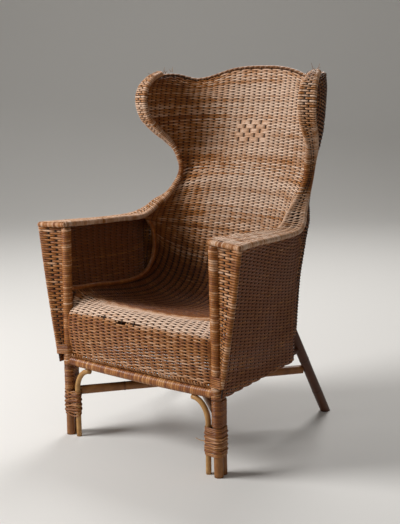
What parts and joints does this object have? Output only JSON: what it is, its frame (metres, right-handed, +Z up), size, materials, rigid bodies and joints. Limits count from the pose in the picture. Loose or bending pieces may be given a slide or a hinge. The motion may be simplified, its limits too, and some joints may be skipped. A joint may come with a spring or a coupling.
{
  "type": "woven cane armchair",
  "caption": "Old wing-back armchair of woven cane on bent cane poles, with deep bucket seat, open arm pockets, splayed rear legs and crossed stretchers; frayed and sagging.",
  "frame": {"origin": "on the floor, under the middle of the chair's bounding box", "axes": "+Z up, front of the seat towards -Y, the chair's left seen from the front towards -X"},
  "size_m": [0.732, 0.7035, 1.1204],
  "materials": {
    "cane_pole": "worn varnish on bare cane poles",
    "cane_weave": "woven cane strands, worn varnish, dusty",
    "cane_wrap": "darker flat cane wrapping, partly glossy",
    "cane_pale": "pale smooth cane, varnish worn off"
  },
  "bodies": {
    "root": {"apron_border": "cane_pole", "arm_front_left": "cane_weave", "arm_front_right": "cane_weave", "arm_nose_left": "cane_wrap", "arm_nose_right": "cane_wrap", "arm_outer_post_left": "cane_wrap", "arm_outer_post_right": "cane_wrap", "arm_top_left": "cane_weave", "arm_top_right": "cane_weave", "back_panel": "cane_weave", "back_post_left": "cane_pole", "back_post_right": "cane_pole", "crest_rail": "cane_wrap", "cross_stretcher_high": "cane_pole", "cross_stretcher_low": "cane_pole", "front_leg_left": "cane_pole", "front_leg_right": "cane_pole", "front_rail": "cane_wrap", "inner_edge_pole_left": "cane_wrap", "inner_edge_pole_right": "cane_wrap", "leg_back_pole_left": "cane_pole", "leg_back_pole_right": "cane_pole", "leg_brace_left": "cane_pale", "leg_brace_right": "cane_pale", "leg_lashing_left": "cane_wrap", "leg_lashing_right": "cane_wrap", "leg_wrap_left": "cane_wrap", "leg_wrap_right": "cane_wrap", "outer_edge_pole_left": "cane_wrap", "outer_edge_pole_right": "cane_wrap", "pocket_pole_left": "cane_wrap", "pocket_pole_right": "cane_wrap", "rail_lashing_left": "cane_wrap", "rail_lashing_right": "cane_wrap", "rear_leg_left": "cane_pole", "rear_leg_right": "cane_pole", "rear_rail": "cane_pole", "seat_and_back_weave": "cane_weave", "seat_bearer_1": "cane_pole", "seat_bearer_2": "cane_pole", "seat_bearer_3": "cane_pole", "seat_front_bar": "cane_pole", "seat_side_bar_left": "cane_pole", "seat_side_bar_right": "cane_pole", "side_panel_left": "cane_weave", "side_panel_right": "cane_weave", "side_rail_left": "cane_pole", "side_rail_right": "cane_pole", "wing_edge_left": "cane_weave", "wing_edge_right": "cane_weave"}
  },
  "joints": []
}
